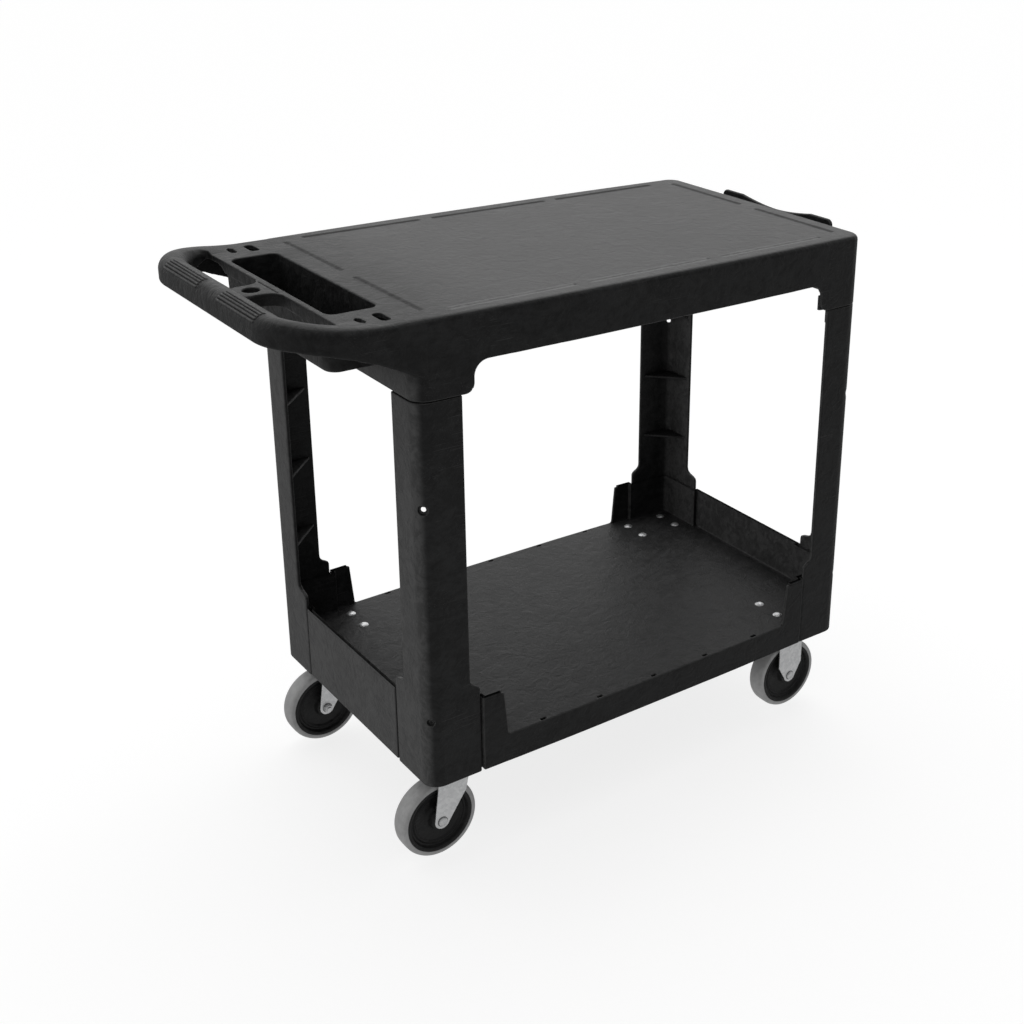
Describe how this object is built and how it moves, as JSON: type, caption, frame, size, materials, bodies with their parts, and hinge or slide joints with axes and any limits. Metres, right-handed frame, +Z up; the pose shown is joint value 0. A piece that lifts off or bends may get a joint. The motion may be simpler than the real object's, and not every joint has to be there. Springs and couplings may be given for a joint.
{
  "type": "service trolley",
  "caption": "Moulded service trolley: flat deck with rising push handle and tool tray, lower shelf with raised ends, corner posts, swivel and rigid casters.",
  "frame": {"origin": "centre of the bounding box at ground level, wheels standing on z = 0", "axes": "+X towards the front (rigid casters), operator stands at -X behind the handle, +Y to the operator's left, +Z up"},
  "size_m": [1.018, 0.498, 0.8711],
  "materials": {
    "shelf_plastic": "moulded structural foam, faint flow marks, satin on top",
    "post_plastic": "moulded structural foam, vertical flow marks",
    "zinc_steel": "bright zinc plate",
    "tyre_rubber": "grey thermoplastic rubber, satin",
    "wheel_plastic": "black moulded, low gloss"
  },
  "bodies": {
    "frame": {"top_shelf": "shelf_plastic", "bottom_shelf": "shelf_plastic", "post_rear_right": "post_plastic", "post_rear_left": "post_plastic", "post_front_right": "post_plastic", "post_front_left": "post_plastic", "hook_rail": "post_plastic", "hook_rail_screws": "zinc_steel", "post_screws": "zinc_steel", "caster_bolts": "zinc_steel", "caster_nuts": "zinc_steel", "rear_right_plate": "zinc_steel", "rear_right_kingpin": "zinc_steel", "rear_left_plate": "zinc_steel", "rear_left_kingpin": "zinc_steel", "front_right_bracket": "zinc_steel", "front_right_axle": "zinc_steel", "front_right_axle_nut": "zinc_steel", "front_right_sleeve": "zinc_steel", "front_left_bracket": "zinc_steel", "front_left_axle": "zinc_steel", "front_left_axle_nut": "zinc_steel", "front_left_sleeve": "zinc_steel"},
    "rear_right_swivel": {"rear_right_fork": "zinc_steel", "rear_right_seal": "zinc_steel", "rear_right_axle": "zinc_steel", "rear_right_axle_nut": "zinc_steel", "rear_right_sleeve": "zinc_steel"},
    "rear_right_wheel": {"rear_right_core": "wheel_plastic", "rear_right_tyre": "tyre_rubber"},
    "rear_left_swivel": {"rear_left_fork": "zinc_steel", "rear_left_seal": "zinc_steel", "rear_left_axle": "zinc_steel", "rear_left_axle_nut": "zinc_steel", "rear_left_sleeve": "zinc_steel"},
    "rear_left_wheel": {"rear_left_core": "wheel_plastic", "rear_left_tyre": "tyre_rubber"},
    "front_right_wheel": {"front_right_core": "wheel_plastic", "front_right_tyre": "tyre_rubber"},
    "front_left_wheel": {"front_left_core": "wheel_plastic", "front_left_tyre": "tyre_rubber"}
  },
  "joints": [
    {"name": "rear_right_swivel_turn", "type": "hinge", "parent": "frame", "child": "rear_right_swivel", "pos_m": [-0.265, -0.19, 0.148], "axis": [0, 0, 1], "continuous": true},
    {"name": "rear_right_wheel_spin", "type": "hinge", "parent": "rear_right_swivel", "child": "rear_right_wheel", "pos_m": [-0.3003, -0.19, 0.0625], "axis": [0, 1, 0], "continuous": true},
    {"name": "rear_left_swivel_turn", "type": "hinge", "parent": "frame", "child": "rear_left_swivel", "pos_m": [-0.265, 0.19, 0.148], "axis": [0, 0, 1], "continuous": true},
    {"name": "rear_left_wheel_spin", "type": "hinge", "parent": "rear_left_swivel", "child": "rear_left_wheel", "pos_m": [-0.3003, 0.19, 0.0625], "axis": [0, 1, 0], "continuous": true},
    {"name": "front_right_wheel_spin", "type": "hinge", "parent": "frame", "child": "front_right_wheel", "pos_m": [0.4, -0.19, 0.0625], "axis": [0, 1, 0], "continuous": true},
    {"name": "front_left_wheel_spin", "type": "hinge", "parent": "frame", "child": "front_left_wheel", "pos_m": [0.4, 0.19, 0.0625], "axis": [0, 1, 0], "continuous": true}
  ]
}
